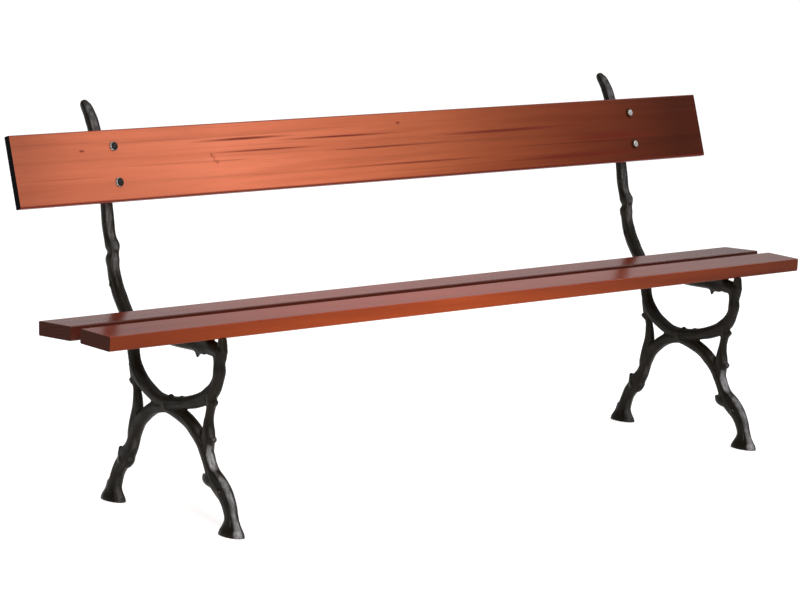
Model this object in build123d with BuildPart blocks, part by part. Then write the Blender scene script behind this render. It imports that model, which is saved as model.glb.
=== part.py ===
from build123d import *
import math
import os

# Park bench with two cast "branch" end frames, two seat planks and one back plank.
# Units are millimetres. X runs along the bench, +Y points to the back, +Z is up.
# The origin is on the floor, in the middle of the bench's overall length and depth.

os.makedirs("parts", exist_ok=True)

# ---- driving dimensions -------------------------------------------------------
plank_length = 2000.0        # all three planks
frame_spacing = 1516.0       # between the middle planes of the two end frames
frame_shift = 24.0           # the pair of end frames sits this far off the middle
seat_shift = -14.0           # and so do the seat planks
back_shift = 14.0            # and the back plank

seat_plank_width = 93.0      # front plank
rear_plank_width = 103.0
seat_plank_thickness = 29.0
seat_front_y = -200.0        # front edge of the front plank
seat_top_z = 417.0           # top of that edge
seat_gap = 32.0              # between the two seat planks
front_plank_tilt = -1.6      # degrees, positive drops the rear edge
rear_plank_tilt = 2.4
rear_plank_rise = 2.0        # the rear plank starts this much higher

back_plank_width = 148.0
back_plank_thickness = 16.0
back_top_y = 176.0           # front edge of the top of the back plank
back_top_z = 761.0
back_recline = 17.6          # degrees from upright
back_bolt_rows = (35.0, 109.0)  # down the face from the top edge

casting_thickness = 24.0     # the pads of the end frames, measured along X
strut_thickness = 17.0
casting_steps = ((7.0, 0.0), (10.0, 2.0), (12.0, 5.0))  # half thickness, inset of outline
plank_round = 3.0

foot_length = 70.0           # oval feet on the floor
foot_width = 38.0
foot_height = 30.0
foot_neck_length = 35.0

bar_depth = 24.0             # seat bar of the casting
pad_height = 13.0            # cast pads between the bar and the planks
pad_margin = 6.0             # a pad stops this far inside the plank's edges
stem_depth = 53.0            # from the front face of the back plank to the stem's middle
spot_face_depth = stem_depth + 10.0

bolt_d = 8.0
hole_clearance = 1.0         # bolt holes are this much larger than the bolts
thread_clearance = 0.4       # nuts, washers and wood holes round a screw
bolt_head_d = 20.0
bolt_head_h = 5.0
neck_length = 4.0            # square neck under the bolt's head
neck_clearance = 0.4
washer_d = 17.0
washer_t = 1.6
nut_across_flats = 13.0
nut_h = 6.5
bolt_end = 4.0               # thread showing past the nut
screw_head_h = 5.5
screw_bite = 20.0            # how far a seat screw reaches into the wood
screw_seat = 24.0            # from the underside of the plank to the washer's top
recess_d = washer_d + 1.6

bar_middle_z = seat_top_z - seat_plank_thickness - pad_height - bar_depth / 2.0
left_x = frame_shift - frame_spacing / 2.0
right_x = frame_shift + frame_spacing / 2.0

# ---- placing planes -----------------------------------------------------------
def seat_plane(front_y, top_z, tilt, x):
    """Plane on the top of a seat plank, at its front edge; local Y runs back."""
    a = math.radians(tilt)
    return Plane(origin=(x, front_y, top_z), x_dir=(1, 0, 0),
                 z_dir=(0, math.sin(a), math.cos(a)))


def back_plane(x):
    """Plane on the back plank's front face, at its top edge; local Y runs down."""
    a = math.radians(back_recline)
    return Plane(origin=(x, back_top_y, back_top_z), x_dir=(1, 0, 0),
                 z_dir=(0, math.cos(a), -math.sin(a)))


def front_seat(x):
    return seat_plane(seat_front_y, seat_top_z, front_plank_tilt, x)


def rear_seat(x):
    return seat_plane(seat_front_y + seat_plank_width + seat_gap,
                      seat_top_z + rear_plank_rise, rear_plank_tilt, x)


def side_point(plane, along, depth):
    """(y, z) of the point `along` and `depth` in a placing plane."""
    p = plane.from_local_coords((0, along, depth))
    return (p.Y, p.Z)


# ---- branch stations: (y, z, half width) --------------------------------------
stem_root = [(141, 438, 15), (125, 413, 15), (111, 395, 14), (97, 368, 14),
             (87, 343, 13), (82, 318, 12), (77, 293, 12)]

# The kinked run below the back plank: (share of the way up, offset in y, half width).
stem_kink = [(0.88, 2, 12), (0.72, 3, 12), (0.60, 1, 13.5), (0.51, -1, 15),
             (0.44, -1, 12), (0.37, 3, 15), (0.265, 5, 14), (0.15, 5, 14)]

# The horn above the back plank: (offset in y, offset in z, half width).
horn = [(39, 61, 9), (35, 57, 10), (26, 48, 11), (13.5, 31, 12), (4.5, 12, 12)]

top_y, top_z = side_point(back_plane(0), 0, stem_depth)
low_y, low_z = side_point(back_plane(0), back_plank_width, stem_depth)
root_y, root_z, _ = stem_root[0]
stem = [(top_y + dy, top_z + dz, r) for dy, dz, r in horn]
for row in back_bolt_rows:
    stem.append(side_point(back_plane(0), row, stem_depth) + (12,))
stem.append((low_y, low_z, 12))
for share, dy, r in stem_kink:
    stem.append((root_y + share * (low_y - root_y) + dy, root_z + share * (low_z - root_z), r))
stem += stem_root


def stem_middle(z):
    """y of the stem's middle line at a height."""
    for (y1, z1, _), (y2, z2, _) in zip(stem, stem[1:]):
        if z2 <= z <= z1:
            return y2 + (y1 - y2) * (z - z2) / (z1 - z2)
    return root_y


# The loop rises at the front to meet the seat bar.
loop_turn_z = 289.0
loop_rise = bar_middle_z - loop_turn_z
loop = [(80, 312, 11), (70, 283, 13), (51, 265, 13), (26, 249, 13), (1, 238, 13),
        (-28, 232, 14), (-58, 235, 13.5), (-87, 241, 13), (-116, 249, 13.5),
        (-143, 259, 14), (-165, 273, 14), (-179, loop_turn_z, 13),
        (seat_front_y + 13, loop_turn_z + 0.31 * loop_rise, 11),
        (seat_front_y + 10, loop_turn_z + 0.61 * loop_rise, 12),
        (seat_front_y + 8, bar_middle_z, 13)]
front_leg = [(-28, 225, 13), (-53, 221, 13), (-77, 215, 13), (-102, 204, 14),
             (-124, 190, 14.5), (-140, 175, 14.5), (-153, 160, 14.5), (-162, 146, 13.5),
             (-169, 130, 13.5), (-176, 116, 15.5), (-187, 104, 19), (-204, 91, 19.5),
             (-221, 75, 18), (-233, 54, 16.5), (-239, 34, 17), (-240, 12, 18)]
rear_leg = [(-28, 225, 13), (1, 219, 13), (26, 206, 13.5), (46, 190, 14), (61, 172, 13),
            (72, 153, 12.5), (79, 135, 13.5), (85, 121, 15), (94, 107, 17.5),
            (104, 93, 18), (115, 79, 16.5), (123, 68, 15.5), (131, 50, 15.5),
            (137, 32, 16.5), (140, 12, 18)]
front_strut = [(-168, 260, 10), (-164, 227, 9.5), (-163, 204, 11), (-162, 182, 13),
               (-161, 157, 12)]
rear_strut = [(77, 288, 11), (76, 262, 9.5), (70, 237, 8.5), (67, 214, 10), (69, 188, 12),
              (78, 152, 11)]
bar = [(seat_front_y + 14, bar_middle_z - 4, bar_depth / 2 + 3),
       (seat_front_y + 40, bar_middle_z - 3, bar_depth / 2 + 3),
       (seat_front_y + 70, bar_middle_z - 1, bar_depth / 2 + 1),
       (seat_front_y + 100, bar_middle_z, bar_depth / 2),
       (0, bar_middle_z, bar_depth / 2),
       (stem_middle(bar_middle_z), bar_middle_z, bar_depth / 2)]
spike = [(seat_front_y + 74, bar_middle_z - 6, 8), (seat_front_y + 79, bar_middle_z - 14, 5),
         (seat_front_y + 81, bar_middle_z - 22, 2)]
front_leg_knot = [(-182, 110, 14), (-168, 104, 13), (-157, 102, 9)]
rear_leg_knot = [(96, 98, 16), (106, 103, 14), (113, 108, 9)]


# ---- outline of the castings --------------------------------------------------
def limb(stations, inset=0.0):
    """Flat outline of one branch: smooth sides beside the stations, round ends."""
    left = []
    right = []
    last = len(stations) - 1
    for i, (y, z, r) in enumerate(stations):
        y1, z1, _ = stations[max(i - 1, 0)]
        y2, z2, _ = stations[min(i + 1, last)]
        run = math.hypot(y2 - y1, z2 - z1)
        r = r - inset
        ny = -(z2 - z1) / run
        nz = (y2 - y1) / run
        left.append((y + ny * r, z + nz * r))
        right.append((y - ny * r, z - nz * r))
    right.reverse()
    with BuildSketch() as outline:
        with BuildLine():
            Spline(*left)
            Line(left[-1], right[0])
            Spline(*right)
            Line(right[-1], left[0])
        make_face()
        for y, z, r in (stations[0], stations[-1]):
            with Locations((y, z)):
                Circle(r - inset)
    return outline.sketch


def pad(points):
    """Flat outline of a cast pad, through four or more corner points."""
    with BuildSketch() as outline:
        with BuildLine():
            Polyline(*points, close=True)
        make_face()
    return outline.sketch


def seat_pad(plane, start, end):
    """Pad between the seat bar and the underside of a plank."""
    y1, z1 = side_point(plane, start, -seat_plank_thickness)
    y2, z2 = side_point(plane, end, -seat_plank_thickness)
    return pad([(y1, z1), (y2, z2), (y2 + 6, bar_middle_z), (y1 - 6, bar_middle_z)])


def back_pad(row):
    """Boss between the stem and the rear face of the back plank."""
    plane = back_plane(0)
    return pad([side_point(plane, row - 16, back_plank_thickness),
                side_point(plane, row + 16, back_plank_thickness),
                side_point(plane, row + 20, stem_depth),
                side_point(plane, row - 20, stem_depth)])


front_hole = seat_plank_width / 2.0
rear_hole = rear_plank_width / 2.0

branches = (stem, loop, front_leg, rear_leg, bar, front_leg_knot, rear_leg_knot)

# One casting, built on the middle plane and used for both ends. The branches are
# thickest in the middle of their section, so each step out is a narrower outline.
with BuildPart() as casting:
    for half, inset in casting_steps:
        with BuildSketch(Plane.YZ):
            for stations in branches:
                add(limb(stations, inset))
        extrude(amount=half, both=True)
    with BuildSketch(Plane.YZ):
        add(limb(front_strut))
        add(limb(rear_strut))
        add(limb(spike))
    extrude(amount=strut_thickness / 2, both=True)
    with BuildSketch(Plane.YZ):
        add(seat_pad(front_seat(0), 2, 12))
        add(seat_pad(front_seat(0), 30, seat_plank_width - pad_margin))
        add(seat_pad(rear_seat(0), pad_margin, rear_plank_width - pad_margin))
        for row in back_bolt_rows:
            add(back_pad(row))
    extrude(amount=casting_thickness / 2, both=True)
    # flared oval feet
    for leg in (front_leg, rear_leg):
        foot_y = leg[-1][0]
        with BuildSketch(Plane.XY):
            with Locations((0, foot_y)):
                Ellipse(foot_width / 2, foot_length / 2)
        with BuildSketch(Plane.XY.offset(foot_height * 0.4)):
            with Locations((0, foot_y)):
                Ellipse(foot_width * 0.4, foot_length * 0.38)
        with BuildSketch(Plane.XY.offset(foot_height)):
            with Locations((0, foot_y)):
                Ellipse(casting_thickness / 2, foot_neck_length / 2)
        loft()
    # trim the legs level with the floor
    with Locations((0, 0, 0)):
        Box(200, 900, 60, align=(Align.CENTER, Align.CENTER, Align.MAX), mode=Mode.SUBTRACT)
    # bolt holes through the stem, with a flat seat for the washer behind
    for row in back_bolt_rows:
        with Locations(back_plane(0)):
            with Locations((0, row, stem_depth / 2)):
                Cylinder((bolt_d + hole_clearance) / 2, stem_depth * 2, mode=Mode.SUBTRACT)
            with Locations((0, row, spot_face_depth)):
                Cylinder(recess_d / 2, 20, mode=Mode.SUBTRACT,
                         align=(Align.CENTER, Align.CENTER, Align.MIN))
    # seat screw holes, with the head and washer sunk into the bar
    for seat, seat_hole in ((front_seat(0), front_hole), (rear_seat(0), rear_hole)):
        with Locations(seat):
            with Locations((0, seat_hole, -seat_plank_thickness)):
                Cylinder((bolt_d + hole_clearance) / 2, 80, mode=Mode.SUBTRACT,
                         align=(Align.CENTER, Align.CENTER, Align.CENTER))
            with Locations((0, seat_hole, -seat_plank_thickness - screw_seat)):
                Cylinder(recess_d / 2, 40, mode=Mode.SUBTRACT,
                         align=(Align.CENTER, Align.CENTER, Align.MAX))


def save(piece, label):
    """Name a finished piece and write it out."""
    piece.part.label = label
    export_step(piece.part, "parts/" + label + ".step")


# ---- end frames ---------------------------------------------------------------
for label, x in (("left_end_frame", left_x), ("right_end_frame", right_x)):
    with BuildPart() as end_frame:
        with Locations((x, 0, 0)):
            add(casting.part)
    save(end_frame, label)


# ---- seat planks --------------------------------------------------------------
for label, seat, width, seat_hole in (
        ("front_seat_plank", front_seat, seat_plank_width, front_hole),
        ("rear_seat_plank", rear_seat, rear_plank_width, rear_hole)):
    with BuildPart() as plank:
        with Locations(seat(seat_shift)):
            Box(plank_length, width, seat_plank_thickness,
                align=(Align.CENTER, Align.MIN, Align.MAX))
        fillet(plank.edges().filter_by(Axis.X), plank_round)
        for x in (left_x, right_x):
            with Locations(seat(x)):
                with Locations((0, seat_hole, -seat_plank_thickness)):
                    Cylinder((bolt_d + thread_clearance) / 2, screw_bite + 1.0,
                             align=(Align.CENTER, Align.CENTER, Align.MIN),
                             mode=Mode.SUBTRACT)
    save(plank, label)


# ---- back plank ---------------------------------------------------------------
with BuildPart() as back_plank:
    with Locations(back_plane(back_shift)):
        Box(plank_length, back_plank_width, back_plank_thickness,
            align=(Align.CENTER, Align.MIN, Align.MIN))
    fillet(back_plank.edges().filter_by(Axis.X), plank_round)
    for x in (left_x, right_x):
        for row in back_bolt_rows:
            with Locations(back_plane(x)):
                with Locations((0, row, 0)):
                    Cylinder((bolt_d + hole_clearance) / 2, 3 * back_plank_thickness,
                             mode=Mode.SUBTRACT)
                    Box(bolt_d + neck_clearance, bolt_d + neck_clearance,
                        neck_length + 1.0, mode=Mode.SUBTRACT,
                        align=(Align.CENTER, Align.CENTER, Align.MIN))
save(back_plank, "back_plank")


# ---- back plank bolts, washers and nuts ---------------------------------------
nut_face = spot_face_depth + washer_t
for side, x in (("left", left_x), ("right", right_x)):
    for place, row in zip(("upper", "lower"), back_bolt_rows):
        spot = back_plane(x)

        with BuildPart() as bolt:
            with Locations(spot):
                with Locations((0, row, 0)):
                    Cylinder(bolt_head_d / 2, bolt_head_h,
                             align=(Align.CENTER, Align.CENTER, Align.MAX))
            rim = bolt.edges().filter_by(GeomType.CIRCLE).sort_by(Axis.Y)[0]
            fillet(rim, bolt_head_h - 0.6)
            with Locations(spot):
                with Locations((0, row, 0)):
                    Box(bolt_d, bolt_d, neck_length,
                        align=(Align.CENTER, Align.CENTER, Align.MIN))
                    Cylinder(bolt_d / 2, nut_face + nut_h + bolt_end,
                             align=(Align.CENTER, Align.CENTER, Align.MIN))
        save(bolt, side + "_" + place + "_back_bolt")

        with BuildPart() as washer:
            with Locations(spot):
                with Locations((0, row, spot_face_depth)):
                    Cylinder(washer_d / 2, washer_t,
                             align=(Align.CENTER, Align.CENTER, Align.MIN))
                    Cylinder((bolt_d + thread_clearance) / 2, 3 * washer_t,
                             mode=Mode.SUBTRACT)
        save(washer, side + "_" + place + "_back_washer")

        with BuildPart() as nut:
            with BuildSketch(Plane(origin=spot.from_local_coords((0, row, nut_face)),
                                   x_dir=spot.x_dir, z_dir=spot.z_dir)):
                RegularPolygon(nut_across_flats / 2, 6, major_radius=False)
                Circle((bolt_d + thread_clearance) / 2, mode=Mode.SUBTRACT)
            extrude(amount=nut_h)
        save(nut, side + "_" + place + "_back_nut")


# ---- seat screws and washers --------------------------------------------------
for side, x in (("left", left_x), ("right", right_x)):
    for place, seat, seat_hole in (("front", front_seat(x), front_hole),
                                   ("rear", rear_seat(x), rear_hole)):
        washer_top = -seat_plank_thickness - screw_seat

        with BuildPart() as washer:
            with Locations(seat):
                with Locations((0, seat_hole, washer_top)):
                    Cylinder(washer_d / 2, washer_t,
                             align=(Align.CENTER, Align.CENTER, Align.MAX))
                    Cylinder((bolt_d + thread_clearance) / 2, 3 * washer_t,
                             mode=Mode.SUBTRACT)
        save(washer, side + "_" + place + "_seat_washer")

        with BuildPart() as screw:
            head_top = seat.from_local_coords((0, seat_hole, washer_top - washer_t))
            head_plane = Plane(origin=head_top, x_dir=seat.x_dir, z_dir=seat.z_dir)
            with BuildSketch(head_plane):
                RegularPolygon(nut_across_flats / 2, 6, major_radius=False)
            extrude(amount=-screw_head_h)
            with BuildSketch(head_plane):
                Circle(bolt_d / 2)
            extrude(amount=washer_t + screw_seat + screw_bite)
        save(screw, side + "_" + place + "_seat_screw")
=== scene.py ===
import math

import bmesh
import bpy
from mathutils import Euler, Matrix, Vector, noise
from mathutils.kdtree import KDTree


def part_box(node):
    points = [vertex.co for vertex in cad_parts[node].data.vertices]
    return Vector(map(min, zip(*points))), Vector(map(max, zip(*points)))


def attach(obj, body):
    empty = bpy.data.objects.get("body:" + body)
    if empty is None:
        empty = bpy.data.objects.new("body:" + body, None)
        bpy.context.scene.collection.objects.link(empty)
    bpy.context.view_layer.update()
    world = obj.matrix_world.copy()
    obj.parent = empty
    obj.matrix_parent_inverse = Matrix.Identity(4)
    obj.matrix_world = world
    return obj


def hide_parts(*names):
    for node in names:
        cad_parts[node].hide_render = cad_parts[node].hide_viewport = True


# Park bench with two cast "branch" end frames. Blender units are metres; the branch
# stations below are in millimetres: (y, z, half width in the plane, half width along X).

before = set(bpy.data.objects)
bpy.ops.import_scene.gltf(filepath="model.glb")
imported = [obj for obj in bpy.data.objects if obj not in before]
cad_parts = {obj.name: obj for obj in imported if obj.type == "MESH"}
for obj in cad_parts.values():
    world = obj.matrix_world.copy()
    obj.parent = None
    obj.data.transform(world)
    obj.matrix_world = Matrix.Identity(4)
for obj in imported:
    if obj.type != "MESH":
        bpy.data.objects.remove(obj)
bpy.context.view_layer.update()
MM = 0.001

# ---- sizes shared with the CAD model (mm, degrees) ------------------------------
SEAT_T = 29.0
FRONT_W = 93.0
REAR_W = 103.0
FRONT_SEAT = (-200.0, 417.0, -1.6)     # y and z of the top front edge, tilt
REAR_SEAT = (-75.0, 419.0, 2.4)
BACK_TOP = (176.0, 761.0)              # y and z of the top front edge
BACK_RECLINE = 17.6
BACK_T = 16.0
BACK_W = 148.0
BOLT_ROWS = (35.0, 109.0)              # down from the back plank's top edge
STEM_DEPTH = 53.0                      # from the back plank's face to the bosses' ends
SPOT_DEPTH = 63.0                      # from the back plank's face to the washers
RECESS_R = 9.3
SCREW_SEAT = 24.0      # from the plank's underside to the screw's washer
RECESS_END = 50.0      # the recess is open below this, out of the bar

# ---- the casting ----------------------------------------------------------------
STEM = [(266, 805, 8, 8), (262, 801, 10, 9), (253, 793, 11.5, 11), (240, 776, 12.5, 12),
        (231, 755, 12, 12), (218, 718, 12, 12), (206, 680, 12, 12), (193, 643, 12, 12),
        (184, 610, 12, 12), (179, 584, 12, 12), (175, 558, 12, 12), (168, 538, 12.5, 12),
        (161, 524, 16.5, 12.5), (158, 511, 11.5, 10.5), (160, 498, 16, 12.5), (157, 482, 14, 12),
        (152, 463, 14, 12), (141, 438, 15, 12), (125, 413, 15, 12), (111, 395, 14, 12),
        (97, 368, 14, 12), (88, 343, 13, 12), (83, 318, 12.5, 12), (78, 297, 12, 12)]
LOOP = [(84, 337, 9, 10), (80, 310, 11, 11), (71, 284, 14, 12), (51, 264, 14, 12.5),
        (26, 248, 13.5, 12.5), (1, 238, 13, 12.5), (-28, 232, 14, 12.5), (-58, 235, 13.5, 12.5),
        (-87, 241, 13, 12.5), (-116, 249, 13.5, 12.5), (-143, 259, 14.5, 12.5),
        (-164, 273, 15.5, 12.5), (-179, 289, 14, 12), (-187, 307, 11.5, 11.5),
        (-189, 322, 12.5, 12), (-189, 336, 11.5, 11), (-191, 350, 14.5, 12), (-193, 362, 14, 12)]
FRONT_LEG = [(-20, 226, 12, 12.5), (-53, 221, 13, 12.5), (-77, 215, 13, 12.5),
             (-102, 204, 14, 12.5), (-124, 190, 14.5, 12.5), (-141, 175, 14.5, 12.5),
             (-153, 160, 14.5, 12.5), (-162, 146, 13.5, 12.5), (-169, 130, 13.5, 12.5),
             (-176, 117, 15.5, 12.5), (-187, 104, 20, 12.5), (-203, 92, 20.5, 12.5),
             (-220, 76, 18.5, 12.5), (-233, 54, 17, 12), (-239, 34, 16.5, 12),
             (-240, 18, 18, 12.5)]
REAR_LEG = [(-36, 226, 12, 12.5), (1, 219, 13, 12.5), (26, 206, 13.5, 12.5),
            (46, 190, 14, 12.5), (61, 172, 13, 12.5), (72, 153, 12.5, 12),
            (79, 135, 13.5, 12), (84, 122, 15, 12), (93, 108, 17.5, 12.5),
            (103, 93, 18, 12.5), (115, 79, 16, 12), (123, 68, 15, 12), (131, 50, 15, 12),
            (137, 32, 16, 12), (140, 18, 18, 12.5)]
FRONT_STRUT = [(-168, 276, 10, 10), (-167, 252, 9, 9), (-163, 229, 8.5, 8.5),
               (-160, 210, 11, 9.5), (-160, 190, 15, 11), (-160, 157, 13, 12)]
REAR_STRUT = [(78, 298, 13, 10), (76, 274, 11, 9), (70, 247, 8, 8.5), (66, 218, 10, 9),
              (68, 192, 13, 11), (79, 150, 12, 11)]
BAR = [(-184, 362, 15, 12), (-160, 364, 15.5, 11), (-135, 363, 14.5, 12), (-105, 363, 12, 12),
       (-40, 363, 12, 12), (40, 363, 12, 12), (96, 364, 12, 12)]
# short stubs and knots, as (y, z, half width, half width along X)
STUBS = [
    [(-128, 359, 9, 9), (-124, 351, 6, 7), (-121, 344, 3.5, 4), (-120, 339, 1.6, 2)],
    [(-186, 104, 19, 12), (-172, 102, 17, 12), (-162, 102, 14, 11), (-155, 104, 9.5, 9),
     (-151, 106, 5, 6)],
    [(92, 90, 19, 12), (101, 97, 18.5, 12), (108, 103, 16.5, 11), (114, 108, 12, 10),
     (118, 112, 6, 6)],
    [(160, 499, 12, 11), (169, 500, 8, 9), (176, 499, 4, 5)],
    [(163, 525, 12, 11), (154, 523, 10, 10), (148, 520, 6, 6)],
    [(-168, 253, 10, 9), (-176, 256, 8, 8), (-182, 258, 5, 6)],
    [(-165, 180, 11, 10), (-173, 181, 8, 9), (-179, 182, 5, 6)],
    [(76, 260, 10, 9), (84, 259, 7.5, 8), (89, 260, 5, 6)],
    [(-71, 240, 9, 9), (-74, 248, 6, 7), (-75, 251, 3.5, 4)],
    [(-38, 238, 8, 9), (-40, 246, 5, 7), (-40, 249, 3, 4)],
    [(101, 377, 9, 10), (113, 370, 6, 7), (117, 367, 3.5, 4)],
]
# knots on the flat sides: (y, z, radius, distance of that side along X)
SIDE_KNOTS = [(-211, 84, 9, 12), (106, 92, 9, 12), (-34, 228, 8, 12), (150, 447, 8, 11),
              (-189, 324, 7, 10), (176, 567, 7, 11), (-150, 164, 7, 11), (88, 352, 8, 11)]
SQUARE = 0.86       # below 1 the branch sections are a little squarer than ovals
GROW = 0.5          # what the easing of the fused casting takes off
KNOT_SINK = 0.55    # a side knot's centre is this share of its radius inside the side
CUT_HALF = 60       # half width of the blocks that cut the beds, well past the casting
PAD_FOOT_Z = 360    # the plank pads start at this height, inside the bar
# a flared foot from the floor cut upward: (z, half length, half width)
FOOT = [(-8, 35, 19.5), (2, 35, 19.3), (6, 34, 18.6), (11, 31, 17), (17, 26.5, 15),
        (24, 22, 13.6), (32, 18.5, 12.8), (42, 16, 12)]
# a boss behind the back plank: (depth behind the plank's face, added half width)
BOSS = [(BACK_T - 4, 0), (BACK_T + 8, -1.5), (BACK_T + 22, 0), (STEM_DEPTH, 5)]
# pads under the seat planks: (plank, from, to, flare at the foot, half width)
PADS = [(FRONT_SEAT, -2, 8, 5, 8), (FRONT_SEAT, 42, 87, 6, 11), (REAR_SEAT, 6, REAR_W - 6, 5, 11)]


def smooth_run(stations, step=4.0):
    """Points about `step` apart on a smooth line through the stations."""
    out = []
    last = len(stations) - 1
    for i in range(last):
        p0 = stations[max(i - 1, 0)]
        p1 = stations[i]
        p2 = stations[i + 1]
        p3 = stations[min(i + 2, last)]
        count = max(1, round(math.dist(p1[:2], p2[:2]) / step))
        for k in range(count):
            t = k / count
            out.append([0.5 * (2 * b + (c - a) * t + (2 * a - 5 * b + 4 * c - d) * t * t
                               + (3 * b - a - 3 * c + d) * t ** 3)
                        for a, b, c, d in zip(p0, p1, p2, p3)])
    out.append(list(stations[last]))
    return out


def add_tube(bm, stations, segments=20):
    """A closed tube of oval section along the stations, with rounded ends."""
    line = smooth_run(stations)
    rings = []
    last = len(line) - 1
    for i, (y, z, a, b) in enumerate(line):
        y1, z1 = line[max(i - 1, 0)][:2]
        y2, z2 = line[min(i + 1, last)][:2]
        run = math.hypot(y2 - y1, z2 - z1)
        along = ((y2 - y1) / run, (z2 - z1) / run)
        if i == 0:
            for turn in (75, 50, 25):
                rings.append((y, z, a, b, along, -turn))
        rings.append((y, z, a, b, along, 0))
        if i == last:
            for turn in (25, 50, 75):
                rings.append((y, z, a, b, along, turn))
    made = []
    for y, z, a, b, (ty, tz), turn in rings:
        push = math.sin(math.radians(turn)) * min(a, b)
        size = math.cos(math.radians(turn))
        verts = []
        for k in range(segments):
            angle = 2 * math.pi * k / segments
            c = math.cos(angle)
            s = math.sin(angle)
            across = math.copysign(abs(c) ** SQUARE, c) * (a + GROW) * size
            side = math.copysign(abs(s) ** SQUARE, s) * (b + GROW) * size
            verts.append(bm.verts.new((side * MM, (y + push * ty - tz * across) * MM,
                                       (z + push * tz + ty * across) * MM)))
        made.append(verts)
    for low, high in zip(made, made[1:]):
        for k in range(segments):
            n = (k + 1) % segments
            bm.faces.new((low[k], low[n], high[n], high[k]))
    bm.faces.new(list(reversed(made[0])))
    bm.faces.new(made[-1])


def add_prism(bm, points, half):
    """A flat-sided block: the (y, z) outline carried `half` each way along X."""
    near = [bm.verts.new((-half * MM, y * MM, z * MM)) for y, z in points]
    far = [bm.verts.new((half * MM, y * MM, z * MM)) for y, z in points]
    bm.faces.new(near)
    bm.faces.new(list(reversed(far)))
    for i in range(len(points)):
        n = (i + 1) % len(points)
        bm.faces.new((near[n], near[i], far[i], far[n]))


def add_oval_stack(bm, y, levels, segments=40):
    """A closed stack of ovals, one for each (z, half length, half width)."""
    made = []
    for z, long_half, wide_half in levels:
        made.append([bm.verts.new((math.sin(2 * math.pi * k / segments) * wide_half * MM,
                                   (y + math.cos(2 * math.pi * k / segments) * long_half) * MM,
                                   z * MM)) for k in range(segments)])
    for low, high in zip(made, made[1:]):
        for k in range(segments):
            n = (k + 1) % segments
            bm.faces.new((low[k], low[n], high[n], high[k]))
    bm.faces.new(list(reversed(made[0])))
    bm.faces.new(made[-1])


def seat_point(seat, along, depth):
    """(y, z) at `along` behind a seat plank's front edge and `depth` above its top."""
    y, z, tilt = seat
    c = math.cos(math.radians(tilt))
    s = math.sin(math.radians(tilt))
    return (y + along * c + depth * s, z - along * s + depth * c)


def back_point(along, depth):
    """(y, z) at `along` down the back plank's face and `depth` behind it."""
    c = math.cos(math.radians(BACK_RECLINE))
    s = math.sin(math.radians(BACK_RECLINE))
    return (BACK_TOP[0] - along * s + depth * c, BACK_TOP[1] - along * c - depth * s)


def add_rod(bm, start, end, radius, segments=32):
    """A plain round rod between two (y, z) points on the middle plane."""
    ty = end[0] - start[0]
    tz = end[1] - start[1]
    run = math.hypot(ty, tz)
    made = []
    for y, z in (start, end):
        ring = []
        for k in range(segments):
            angle = 2 * math.pi * k / segments
            across = math.cos(angle) * radius
            ring.append(bm.verts.new((math.sin(angle) * radius * MM,
                                      (y - tz / run * across) * MM,
                                      (z + ty / run * across) * MM)))
        made.append(ring)
    for k in range(segments):
        n = (k + 1) % segments
        bm.faces.new((made[0][k], made[0][n], made[1][n], made[1][k]))
    bm.faces.new(list(reversed(made[0])))
    bm.faces.new(made[1])


def mesh_object(name, bm):
    """A new object from the bmesh, with its faces turned outwards."""
    bmesh.ops.recalc_face_normals(bm, faces=bm.faces)
    mesh = bpy.data.meshes.new(name)
    bm.to_mesh(mesh)
    bm.free()
    thing = bpy.data.objects.new(name, mesh)
    bpy.context.scene.collection.objects.link(thing)
    return thing


def apply_modifiers(thing):
    """Keep the mesh that the modifiers make, and take them off."""
    graph = bpy.context.evaluated_depsgraph_get()
    made = bpy.data.meshes.new_from_object(thing.evaluated_get(graph))
    thing.modifiers.clear()
    thing.data = made


def casting_blank():
    """All the branches, pads and feet as overlapping closed shapes."""
    bm = bmesh.new()
    for stations in [STEM, LOOP, FRONT_LEG, REAR_LEG, FRONT_STRUT, REAR_STRUT, BAR] + STUBS:
        add_tube(bm, stations)
    for y, z, radius, out in SIDE_KNOTS:
        for side in (-1, 1):
            ball = bmesh.ops.create_uvsphere(bm, u_segments=16, v_segments=10,
                                             radius=radius * MM)
            shift = Vector((side * (out - radius * KNOT_SINK) * MM, y * MM, z * MM))
            bmesh.ops.translate(bm, verts=ball["verts"], vec=shift)
    for seat, start, end, flare, half in PADS:
        low = seat_point(seat, start, -SEAT_T + 3)
        high = seat_point(seat, end, -SEAT_T + 3)
        foot = [(high[0] + flare, PAD_FOOT_Z), (low[0] - flare - 2, PAD_FOOT_Z)]
        add_prism(bm, [low, high] + foot, half)
    for row in BOLT_ROWS:
        add_tube(bm, [back_point(row, depth) + (15 + extra, 12) for depth, extra in BOSS])
    for leg in (FRONT_LEG, REAR_LEG):
        add_oval_stack(bm, leg[-1][0], FOOT)
    return bm


def cut_shapes():
    """Floor, plank beds, screw recesses and washer seats, to cut from the casting."""
    bm = bmesh.new()
    add_prism(bm, [(-400, -40), (400, -40), (400, 0), (-400, 0)], CUT_HALF)
    for seat, width in ((FRONT_SEAT, FRONT_W), (REAR_SEAT, REAR_W)):
        add_prism(bm, [seat_point(seat, -4, 5), seat_point(seat, width + 3, 5),
                       seat_point(seat, width + 3, -SEAT_T), seat_point(seat, -4, -SEAT_T)],
                  CUT_HALF)
        add_rod(bm, seat_point(seat, width / 2, -SEAT_T - SCREW_SEAT),
                seat_point(seat, width / 2, -SEAT_T - RECESS_END), RECESS_R)
    add_prism(bm, [back_point(-2, -5), back_point(-2, BACK_T), back_point(BACK_W + 2, BACK_T),
                   back_point(BACK_W + 2, -5)], CUT_HALF)
    for row in BOLT_ROWS:
        add_rod(bm, back_point(row, SPOT_DEPTH), back_point(row, SPOT_DEPTH + 15), RECESS_R)
    return bm


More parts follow.
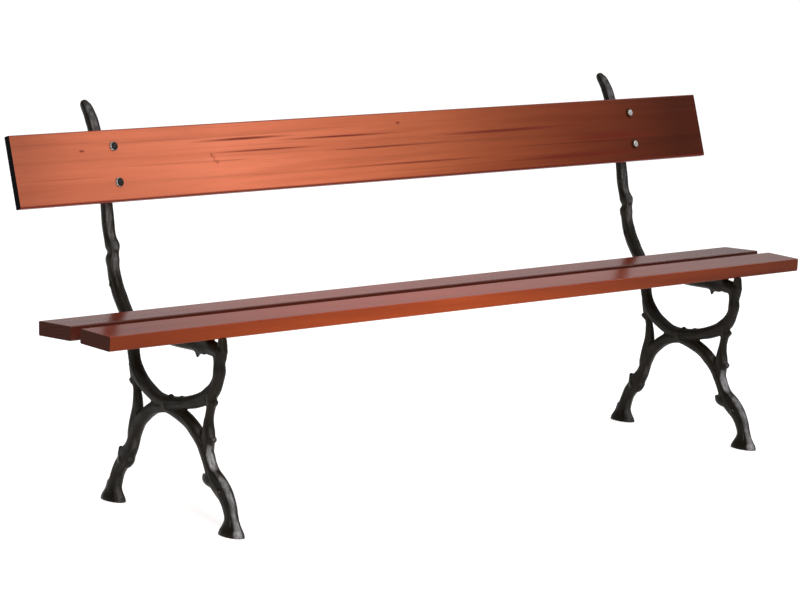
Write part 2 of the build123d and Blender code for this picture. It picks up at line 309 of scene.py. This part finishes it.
def branch_lines():
    """Points along every branch, with the distance run, for the bark relief."""
    samples = []
    for number, stations in enumerate((STEM, LOOP, FRONT_LEG, REAR_LEG, FRONT_STRUT,
                                       REAR_STRUT, BAR)):
        line = smooth_run(stations, 6.0)
        run = 200.0 * number
        for i, (y, z, a, b) in enumerate(line):
            y2, z2 = line[min(i + 1, len(line) - 1)][:2]
            y1, z1 = line[max(i - 1, 0)][:2]
            length = math.hypot(y2 - y1, z2 - z1)
            samples.append((y, z, run, (y2 - y1) / length, (z2 - z1) / length, a))
            run += math.dist((y, z), (y2, z2))
    return samples


def bark_relief(mesh):
    """Push the surface in and out in long ridges that follow the branches."""
    samples = branch_lines()
    tree = KDTree(len(samples))
    for i, (y, z, *_) in enumerate(samples):
        tree.insert(Vector((0, y, z)), i)
    tree.balance()
    moves = []
    for vert in mesh.vertices:
        x, y, z = vert.co / MM
        _, index, _ = tree.find(Vector((0, y, z)))
        cy, cz, run, ty, tz, a = samples[index]
        across = -(y - cy) * tz + (z - cz) * ty
        along = run + (y - cy) * ty + (z - cz) * tz
        angle = math.atan2(x, across)
        ring = Vector((math.cos(angle) * 2.3, math.sin(angle) * 2.3, along / 60.0))
        ridges = noise.noise(ring)
        fine = noise.noise(Vector((ring.x * 2.2, ring.y * 2.2, along / 24.0 + 9)))
        swell = noise.noise(Vector((3.1, ring.x * 0.3, along / 34.0 + 40)))
        push = 1.1 * ridges + 0.55 * fine + 1.2 * swell
        calm = 1.0
        if z < 30:
            calm = max(0.15, z / 30)
        moves.append(vert.normal * (push * calm * MM))
    for vert, move in zip(mesh.vertices, moves):
        vert.co += move


def make_casting():
    """One cast end frame, centred on X = 0."""
    casting = mesh_object("casting", casting_blank())
    remesh = casting.modifiers.new("fuse", "REMESH")
    remesh.mode = "VOXEL"
    remesh.voxel_size = 0.0022
    ease = casting.modifiers.new("ease", "SMOOTH")
    ease.factor = 0.5
    ease.iterations = 10
    apply_modifiers(casting)
    bark_relief(casting.data)
    cutter = mesh_object("cutter", cut_shapes())
    cut = casting.modifiers.new("cut", "BOOLEAN")
    cut.object = cutter
    cut.operation = "DIFFERENCE"
    cut.solver = "EXACT"
    apply_modifiers(casting)
    bpy.data.objects.remove(cutter)
    return casting


# ---- material helpers -------------------------------------------------------------
class Nodes:
    """Short ways to add and join shader nodes in one material."""

    def __init__(self, name):
        self.material = bpy.data.materials.new(name)
        self.material.use_nodes = True
        self.tree = self.material.node_tree
        self.shader = self.tree.nodes["Principled BSDF"]
        self.coords = self.add("ShaderNodeTexCoord")

    def add(self, kind, **settings):
        node = self.tree.nodes.new(kind)
        for key, value in settings.items():
            setattr(node, key, value)
        return node

    def join(self, source, target):
        self.tree.links.new(source, target)

    def place(self, scale, turn=(0, 0, 0), shift=(0, 0, 0)):
        """Object coordinates, turned, then stretched."""
        turned = self.add("ShaderNodeMapping")
        turned.inputs["Rotation"].default_value = turn
        self.join(self.coords.outputs["Object"], turned.inputs["Vector"])
        out = self.add("ShaderNodeMapping")
        out.inputs["Scale"].default_value = scale
        out.inputs["Location"].default_value = shift
        self.join(turned.outputs["Vector"], out.inputs["Vector"])
        return out.outputs["Vector"]

    def noise(self, vector, scale, detail=4.0, rough=0.55, distortion=0.0):
        node = self.add("ShaderNodeTexNoise")
        node.inputs["Scale"].default_value = scale
        node.inputs["Detail"].default_value = detail
        node.inputs["Roughness"].default_value = rough
        node.inputs["Distortion"].default_value = distortion
        self.join(vector, node.inputs["Vector"])
        return node.outputs["Fac"]

    def ramp(self, value, stops):
        node = self.add("ShaderNodeValToRGB")
        ramp = node.color_ramp
        while len(ramp.elements) < len(stops):
            ramp.elements.new(0.5)
        for element, (place, colour) in zip(ramp.elements, stops):
            element.position = place
            if isinstance(colour, (int, float)):
                colour = (colour, colour, colour)
            element.color = (*colour, 1.0)
        self.join(value, node.inputs["Fac"])
        return node.outputs["Color"]

    def mix(self, factor, first, second, mode="MIX"):
        node = self.add("ShaderNodeMix", data_type="RGBA", blend_type=mode)
        for value, socket in ((factor, node.inputs[0]), (first, node.inputs[6]),
                              (second, node.inputs[7])):
            if isinstance(value, bpy.types.NodeSocket):
                self.join(value, socket)
            elif isinstance(value, (int, float)):
                socket.default_value = value
            else:
                socket.default_value = (*value, 1.0)
        return node.outputs[2]

    def maths(self, operation, first, second=0.0):
        node = self.add("ShaderNodeMath", operation=operation)
        for value, socket in ((first, node.inputs[0]), (second, node.inputs[1])):
            if isinstance(value, bpy.types.NodeSocket):
                self.join(value, socket)
            else:
                socket.default_value = value
        return node.outputs[0]

    def bump(self, height, strength, distance, after=None):
        node = self.add("ShaderNodeBump")
        node.inputs["Strength"].default_value = strength
        node.inputs["Distance"].default_value = distance
        self.join(height, node.inputs["Height"])
        if after is not None:
            self.join(after, node.inputs["Normal"])
        return node.outputs["Normal"]

    def set(self, **values):
        for key, value in values.items():
            socket = self.shader.inputs[key.replace("_", " ")]
            if isinstance(value, bpy.types.NodeSocket):
                self.join(value, socket)
            else:
                socket.default_value = value


def wood_material(name, turn, light, middle, dark, seed, marks, painted_light_falloff, edges, end):
    """Stained, varnished wood with its grain along X.

    turn lays the plank's face flat; marks are (x, across, long half, short half, depth);
    the tone along the plank is given as (share of its length, tone) and is painted light:
    paler where the light falls and darker away from it; edges are (across, reach in cm)
    where the colour is darkened along an edge, as painted shade in the gap in front of the
    rear seat plank and as darker bands along the back plank's top and bottom edges; end is
    the end faces' tone, end grain, which on the back plank is also painted shade.
    """
    n = Nodes(name)
    lay = (math.radians(turn), 0, 0)
    flame = n.noise(n.place((0.45, 9, 9), lay, (seed, seed * 2.3, 0)), 2.0, 5, 0.5, 0.9)
    streaks = n.noise(n.place((0.30, 40, 40), lay, (seed, 1.7, seed)), 2.4, 9, 0.62, 0.25)
    fibre = n.noise(n.place((6, 420, 420), lay, (0, 0, seed)), 1.6, 3, 0.6)
    cracks = n.noise(n.place((0.55, 75, 75), lay, (seed * 3, 0.4, seed)), 2.0, 6, 0.55, 0.35)
    broad = n.noise(n.place((1.1, 4, 4), lay, (seed * 5, 0, 0)), 1.4, 2, 0.5)
    colour = n.ramp(flame, [(0.28, middle), (0.50, light), (0.72, middle)])
    lines = n.ramp(streaks, [(0.32, 0.55), (0.42, 0.90), (0.60, 1.0)])
    colour = n.mix(0.45, colour, lines, "MULTIPLY")
    thin = n.ramp(cracks, [(0.28, 0.30), (0.34, 0.85), (0.42, 1.0)])
    colour = n.mix(0.55, colour, thin, "MULTIPLY")
    fine = n.ramp(fibre, [(0.30, 0.84), (0.62, 1.0)])
    colour = n.mix(0.5, colour, fine, "MULTIPLY")
    tone = n.ramp(broad, [(0.30, 0.84), (0.70, 1.06)])
    colour = n.mix(0.8, colour, tone, "MULTIPLY")
    axis = n.add("ShaderNodeSeparateXYZ")
    n.join(n.coords.outputs["Object"], axis.inputs[0])
    # painted light falloff: the colour is scaled along X, paler where the light falls and darker
    # away from it
    along = n.maths("ADD", n.maths("MULTIPLY", axis.outputs["X"], 0.5), 0.5)
    colour = n.mix(1.0, colour, n.ramp(along, painted_light_falloff), "MULTIPLY")
    flat = n.add("ShaderNodeSeparateXYZ")
    n.join(n.place((1, 1, 1), lay), flat.inputs[0])
    # darker along the listed edges; on the rear seat plank this is painted shade in the gap between
    # the seat planks
    for edge, reach in edges:
        gap = n.maths("ABSOLUTE", n.maths("SUBTRACT", flat.outputs["Y"], edge))
        gap = n.maths("ADD", n.maths("MULTIPLY", gap, 100.0),
                      n.maths("MULTIPLY", n.maths("SUBTRACT", streaks, 0.5), 0.3))
        colour = n.mix(n.ramp(gap, [(0.5 * reach, 0.9), (reach, 0.0)]), colour, dark)
    for x, across, long_half, short_half, depth in marks:
        spot = n.place((1 / long_half, 1 / short_half, 0.0), lay,
                       (-x / long_half, -across / short_half, 0))
        reach = n.add("ShaderNodeVectorMath", operation="LENGTH")
        n.join(spot, reach.inputs[0])
        ragged = n.maths("ADD", reach.outputs["Value"],
                         n.maths("MULTIPLY", n.maths("SUBTRACT", cracks, 0.5), 2.2))
        mask = n.ramp(ragged, [(0.30, depth), (1.0, 0.0)])
        colour = n.mix(mask, colour, dark)
    # end grain: darker, with curved rings
    normal = n.add("ShaderNodeNewGeometry").outputs["Normal"]
    split = n.add("ShaderNodeSeparateXYZ")
    n.join(normal, split.inputs[0])
    is_end = n.maths("GREATER_THAN", n.maths("ABSOLUTE", split.outputs["X"]), 0.75)
    rings = n.add("ShaderNodeTexWave", wave_type="RINGS", rings_direction="X")
    rings.inputs["Scale"].default_value = 46
    rings.inputs["Distortion"].default_value = 3.5
    rings.inputs["Detail"].default_value = 4.0
    n.join(n.place((1, 1, 1), lay, (0, 0.06, -0.3)), rings.inputs["Vector"])
    end_colour = n.ramp(rings.outputs["Fac"], [(0.1, tuple(0.7 * c for c in end)), (0.9, end)])
    colour = n.mix(is_end, colour, end_colour)
    rough = n.ramp(streaks, [(0.3, 0.42), (0.65, 0.37)])
    lift = n.bump(fibre, 0.02, 0.0002)
    lift = n.bump(streaks, 0.015, 0.0004, lift)
    # the tops are rubbed smooth and shine more than the sides; their colour is also tinted redder
    # where they face up, a painted light tint on the top faces
    top = n.ramp(split.outputs["Z"], [(0.50, 0.0), (0.80, 1.0)])
    colour = n.mix(top, colour, n.mix(1.0, colour, (1.22, 0.85, 0.78), "MULTIPLY"))
    shine = n.mix(top, (0.10, 0.10, 0.10), (0.52, 0.52, 0.52))
    shine = n.mix(is_end, shine, (0.02, 0.02, 0.02))
    rough = n.mix(top, rough, n.mix(1.0, rough, (0.6, 0.6, 0.6), "MULTIPLY"))
    n.set(Base_Color=colour, Roughness=rough, Normal=lift, Specular_IOR_Level=shine)
    return n.material


def iron_material():
    """Semi-gloss dark paint over cast iron, with painted shade in the hollows, paler ridges of worn
    paint with a painted highlight, and painted highlights on the front legs and stems.
    """
    n = Nodes("painted_iron_branch")
    patches = n.noise(n.place((1, 1, 1)), 22, 5, 0.6, 0.4)
    grain = n.noise(n.place((1, 1, 1)), 420, 3, 0.6)
    bark = n.noise(n.place((60, 46, 16)), 2.0, 5, 0.6, 0.8)
    colour = n.ramp(patches, [(0.32, (0.0045, 0.0032, 0.0016)), (0.55, (0.0080, 0.0060, 0.0034)),
                              (0.74, (0.0130, 0.0100, 0.0062))])
    point = n.add("ShaderNodeNewGeometry").outputs["Pointiness"]
    # paler on the sharp ridges: worn paint, and a painted highlight
    ridge_wear_and_highlight = n.ramp(point, [(0.50, 0.0), (0.60, 0.55)])
    colour = n.mix(ridge_wear_and_highlight, colour, (0.030, 0.026, 0.021))
    # painted shade: darker in the hollows
    hollow_shade = n.ramp(point, [(0.40, 0.6), (0.49, 0.0)])
    colour = n.mix(hollow_shade, colour, (0.006, 0.005, 0.004))
    # painted highlight: the front legs and the stems are painted paler where they face forward,
    # broken up by the patches and the bark
    facing = n.add("ShaderNodeVectorMath", operation="DOT_PRODUCT")
    n.join(n.add("ShaderNodeNewGeometry").outputs["Normal"], facing.inputs[0])
    facing.inputs[1].default_value = (-0.40, -0.85, 0.34)
    place = n.add("ShaderNodeSeparateXYZ")
    n.join(n.coords.outputs["Object"], place.inputs[0])
    low = n.ramp(place.outputs["Z"], [(0.12, 1.0), (0.21, 0.0), (0.46, 0.0), (0.50, 0.32)])
    front = n.ramp(n.maths("ADD", place.outputs["Y"], 0.5), [(0.45, 1.0), (0.52, 0.22),
                                                             (0.62, 0.22), (0.645, 1.0)])
    painted_highlight = n.maths("MULTIPLY", low, front)
    painted_highlight = n.maths("MULTIPLY", painted_highlight, n.ramp(facing.outputs["Value"], [(0.74, 0.0), (1.0, 1.0)]))
    painted_highlight = n.maths("MULTIPLY", painted_highlight, n.ramp(patches, [(0.36, 0.35), (0.60, 1.0)]))
    painted_highlight = n.maths("MULTIPLY", painted_highlight, n.ramp(bark, [(0.38, 0.35), (0.58, 1.0)]))
    colour = n.mix(painted_highlight, colour, (0.44, 0.43, 0.45))
    rough = n.ramp(patches, [(0.3, 0.46), (0.7, 0.28)])
    lift = n.bump(grain, 0.18, 0.0004)
    lift = n.bump(bark, 0.45, 0.0016, lift)
    n.set(Base_Color=colour, Roughness=rough, Normal=lift, Metallic=0.0,
          Specular_IOR_Level=0.11)
    return n.material


def zinc_material(name, facing=None, in_shade=False):
    """Zinc plating with soft mottling and fine scratches.

    facing is the way a bolt head points; the crown of the head is then painted dark and
    only its rim bright, a painted reflection. A head in shade is painted the other way
    round: a dark rim, painted shade, and a small bright crown, a painted highlight.
    """
    n = Nodes(name)
    mottle = n.noise(n.place((1, 1, 1)), 260, 4, 0.6)
    scratch = n.noise(n.place((900, 120, 120)), 1.0, 2, 0.5)
    colour = n.ramp(mottle, [(0.38, (0.13, 0.13, 0.13)), (0.60, (0.62, 0.63, 0.64))])
    # painted reflection and shade on the bolt heads, by the way their faces point
    if facing is not None:
        along = n.add("ShaderNodeVectorMath", operation="DOT_PRODUCT")
        n.join(n.add("ShaderNodeNewGeometry").outputs["Normal"], along.inputs[0])
        along.inputs[1].default_value = facing
        crown = n.maths("ADD", along.outputs["Value"],
                        n.maths("MULTIPLY", n.maths("SUBTRACT", mottle, 0.5), 0.10))
        # head in shade: painted shade on the rim and a painted highlight on the crown
        if in_shade:
            colour = n.mix(n.ramp(crown, [(0.95, 0.0), (0.98, 1.0)]), (0.060, 0.026, 0.016),
                           (0.80, 0.78, 0.74))
        # painted reflection: the crown dark and the rim bright
        else:
            colour = n.mix(n.ramp(crown, [(0.76, 0.0), (0.86, 1.0)]), colour,
                           (0.020, 0.019, 0.018))
    rough = n.ramp(mottle, [(0.3, 0.24), (0.7, 0.42)])
    n.set(Base_Color=colour, Roughness=rough, Metallic=1.0,
          Normal=n.bump(scratch, 0.12, 0.0002))
    return n.material


def floor_material():
    """Pale studio floor with a faint mottle."""
    n = Nodes("studio_floor")
    cloud = n.noise(n.place((1, 1, 1)), 1.3, 3, 0.5)
    n.set(Base_Color=n.ramp(cloud, [(0.3, (0.88, 0.88, 0.88)), (0.7, (0.90, 0.90, 0.90))]),
          Roughness=0.9, Emission_Color=(1.0, 1.0, 1.0, 1.0), Emission_Strength=0.48)
    return n.material


# ---- end frames -------------------------------------------------------------------
casting = make_casting()
casting_mesh = casting.data
bpy.data.objects.remove(casting)
for polygon in casting_mesh.polygons:
    polygon.use_smooth = True
casting_mesh.materials.clear()
casting_mesh.materials.append(iron_material())
for side in ("left", "right"):
    node = side + "_end_frame"
    low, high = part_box(node)
    branch = bpy.data.objects.new(side + "_branch_frame", casting_mesh.copy())
    branch.location = ((low[0] + high[0]) / 2, 0, 0)
    bpy.context.scene.collection.objects.link(branch)
    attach(branch, "root")
    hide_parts(node)


# ---- planks and hardware: CAD nodes with their own materials -----------------------
def finish_node(name, material):
    """Give a CAD node this material in all its slots."""
    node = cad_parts[name]
    for place in node.material_slots:
        place.material = material


def flat_edge(edge, turn):
    """Where a plank's front top edge lies, in metres, once turn has laid the plank flat."""
    laid = math.radians(turn)
    return (edge[0] * math.cos(laid) - edge[1] * math.sin(laid)) / 1000.0


# dark stain for the seat marks; on the rear seat plank it also paints shade along the front edge,
# in the gap between the planks
STAIN_AND_GAP_SHADE = (0.05, 0.010, 0.006)
SEAT_END = (0.050, 0.016, 0.011)
# painted light along the seat planks: darker towards both ends, darkest at the right
SEAT_PAINTED_LIGHT_FALLOFF = [(0.03, 0.46), (0.25, 0.84), (0.45, 0.95), (0.70, 0.66), (0.97, 0.33)]
finish_node("front_seat_plank", wood_material(
    "front_seat_wood", turn=FRONT_SEAT[2], light=(0.37, 0.058, 0.010),
    middle=(0.28, 0.040, 0.008), dark=STAIN_AND_GAP_SHADE, seed=3.1,
    marks=[(-0.45, -0.13, 0.05, 0.003, 0.8), (0.35, -0.15, 0.07, 0.003, 0.7)],
    painted_light_falloff=SEAT_PAINTED_LIGHT_FALLOFF, edges=(), end=SEAT_END))
# the rear seat plank's front edge and face are darkened: painted shade in the gap between the seat
# planks
finish_node("rear_seat_plank", wood_material(
    "rear_seat_wood", turn=REAR_SEAT[2], light=(0.30, 0.050, 0.011),
    middle=(0.22, 0.035, 0.008), dark=STAIN_AND_GAP_SHADE, seed=7.7,
    marks=[(0.30, -0.02, 0.06, 0.003, 0.7)],
    painted_light_falloff=SEAT_PAINTED_LIGHT_FALLOFF, edges=[(flat_edge(REAR_SEAT, REAR_SEAT[2]), 0.4)], end=SEAT_END))

BACK_TURN = 90 + BACK_RECLINE
TOP_EDGE = flat_edge(BACK_TOP, BACK_TURN)
BOTTOM_EDGE = TOP_EDGE + BACK_W / 1000.0
# painted light along the back plank: palest near the left end, darkening to near black at the right
BACK_PAINTED_LIGHT_FALLOFF = [(0.02, 0.50), (0.08, 0.70), (0.27, (1.0, 1.06, 1.10)), (0.42, (0.82, 0.82, 0.76)),
             (0.53, (0.62, 0.60, 0.50)), (0.66, (0.40, 0.34, 0.24)), (0.80, (0.24, 0.17, 0.11)),
             (0.97, (0.085, 0.055, 0.035))]
# long streaks, then small knots, then the dark patches near the right end:
# (x, down from the top edge, long half, short half, depth)
BACK_MARKS = [
    (-0.40, 0.036, 0.16, 0.0035, 1.0), (-0.12, 0.044, 0.24, 0.003, 1.0),
    (-0.34, 0.062, 0.15, 0.0022, 0.8), (-0.02, 0.074, 0.20, 0.003, 0.8),
    (-0.86, 0.096, 0.16, 0.0018, 0.35), (0.34, 0.056, 0.26, 0.004, 0.9),
    (-0.62, 0.078, 0.12, 0.0014, 0.3), (0.10, 0.112, 0.24, 0.003, 0.7),
    (-0.815, 0.041, 0.008, 0.003, 0.8), (-0.484, 0.067, 0.004, 0.006, 0.45),
    (-0.479, 0.074, 0.004, 0.006, 0.45), (-0.472, 0.082, 0.005, 0.005, 0.4),
    (0.05, 0.024, 0.010, 0.004, 0.8),
    (0.72, 0.085, 0.18, 0.010, 0.8), (0.60, 0.125, 0.22, 0.008, 0.7)]
finish_node("back_plank", wood_material(
    "back_wood", turn=BACK_TURN, light=(0.74, 0.195, 0.098), middle=(0.62, 0.150, 0.072),
    dark=(0.12, 0.012, 0.006), seed=5.2,
    marks=[(x, TOP_EDGE + down, *rest) for x, down, *rest in BACK_MARKS],
    painted_light_falloff=BACK_PAINTED_LIGHT_FALLOFF, edges=[(TOP_EDGE, 0.3), (BOTTOM_EDGE, 0.58)],
    # the back plank's end faces: end grain darkened to near black with a blue cast, painted shade
    end=(0.0012, 0.0010, 0.0020)))

zinc = zinc_material("zinc_plating")
lean = math.radians(BACK_RECLINE)
forward = (0.0, -math.cos(lean), math.sin(lean))
# the left heads get a painted reflection, the right heads painted shade with a small painted
# highlight
heads = {"left": zinc_material("bolt_plating", forward),
         "right": zinc_material("shaded_bolt_plating", forward, True)}
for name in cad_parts:
    if name.split("_")[-1] in ("bolt", "washer", "nut", "screw"):
        finish_node(name, heads[name.split("_")[0]] if name.endswith("bolt") else zinc)


# ---- floor ------------------------------------------------------------------------
bm = bmesh.new()
bmesh.ops.create_grid(bm, x_segments=8, y_segments=8, size=30)
floor = mesh_object("floor", bm)
floor.data.materials.append(floor_material())


# ---- light ------------------------------------------------------------------------
def area_light(name, place, target, size, power, colour):
    """A soft rectangular lamp at place, turned to target and hidden from the camera."""
    data = bpy.data.lights.new(name, "AREA")
    data.shape = "RECTANGLE"
    data.size, data.size_y = size
    data.energy = power
    data.color = colour
    lamp = bpy.data.objects.new(name, data)
    lamp.location = place
    lamp.rotation_euler = (Vector(target) - Vector(place)).to_track_quat("-Z", "Y").to_euler()
    lamp.visible_camera = False
    bpy.context.scene.collection.objects.link(lamp)


area_light("key", (-2.1, -2.6, 1.9), (-0.9, 0.1, 0.6), (0.8, 0.8), 60, (1.0, 0.96, 0.90))
area_light("strip", (1.9, -1.5, 2.1), (0.0, -0.22, 0.1), (3.4, 0.25), 24, (0.95, 0.97, 1.0))
area_light("sheen", (3.3, 3.6, 1.3), (0.0, 0.0, 0.4), (5.0, 1.0), 5, (0.96, 0.98, 1.0))
sun_data = bpy.data.lights.new("overhead", "SUN")
sun_data.energy = 1.5
sun_data.angle = math.radians(85)
sun = bpy.data.objects.new("overhead", sun_data)
sun.location = (0, 0, 4)
bpy.context.scene.collection.objects.link(sun)

world = bpy.data.worlds.new("studio")
world.use_nodes = True
world.node_tree.nodes["Background"].inputs["Color"].default_value = (1, 1, 1, 1)
world.node_tree.nodes["Background"].inputs["Strength"].default_value = 0.22
bpy.context.scene.world = world
bpy.context.scene.view_settings.view_transform = "Standard"


# ---- camera -----------------------------------------------------------------------
CAMERA_PLACE = (-4.741, -5.015, 1.501)
PITCH_DOWN = 9.29
YAW = 42.9          # from looking along +Y, turned towards +X
ROLL = 2.08
camera_data = bpy.data.cameras.new("camera")
camera_data.sensor_width = 36
camera_data.lens = 145.9
camera_data.clip_end = 100
camera = bpy.data.objects.new("camera", camera_data)
camera.location = CAMERA_PLACE
aim = Euler((math.radians(90 - PITCH_DOWN), 0, math.radians(-YAW))).to_matrix().to_4x4()
roll = Matrix.Rotation(math.radians(ROLL), 4, "Z")
camera.rotation_euler = (aim @ roll).to_euler()
bpy.context.scene.collection.objects.link(camera)
bpy.context.scene.camera = camera
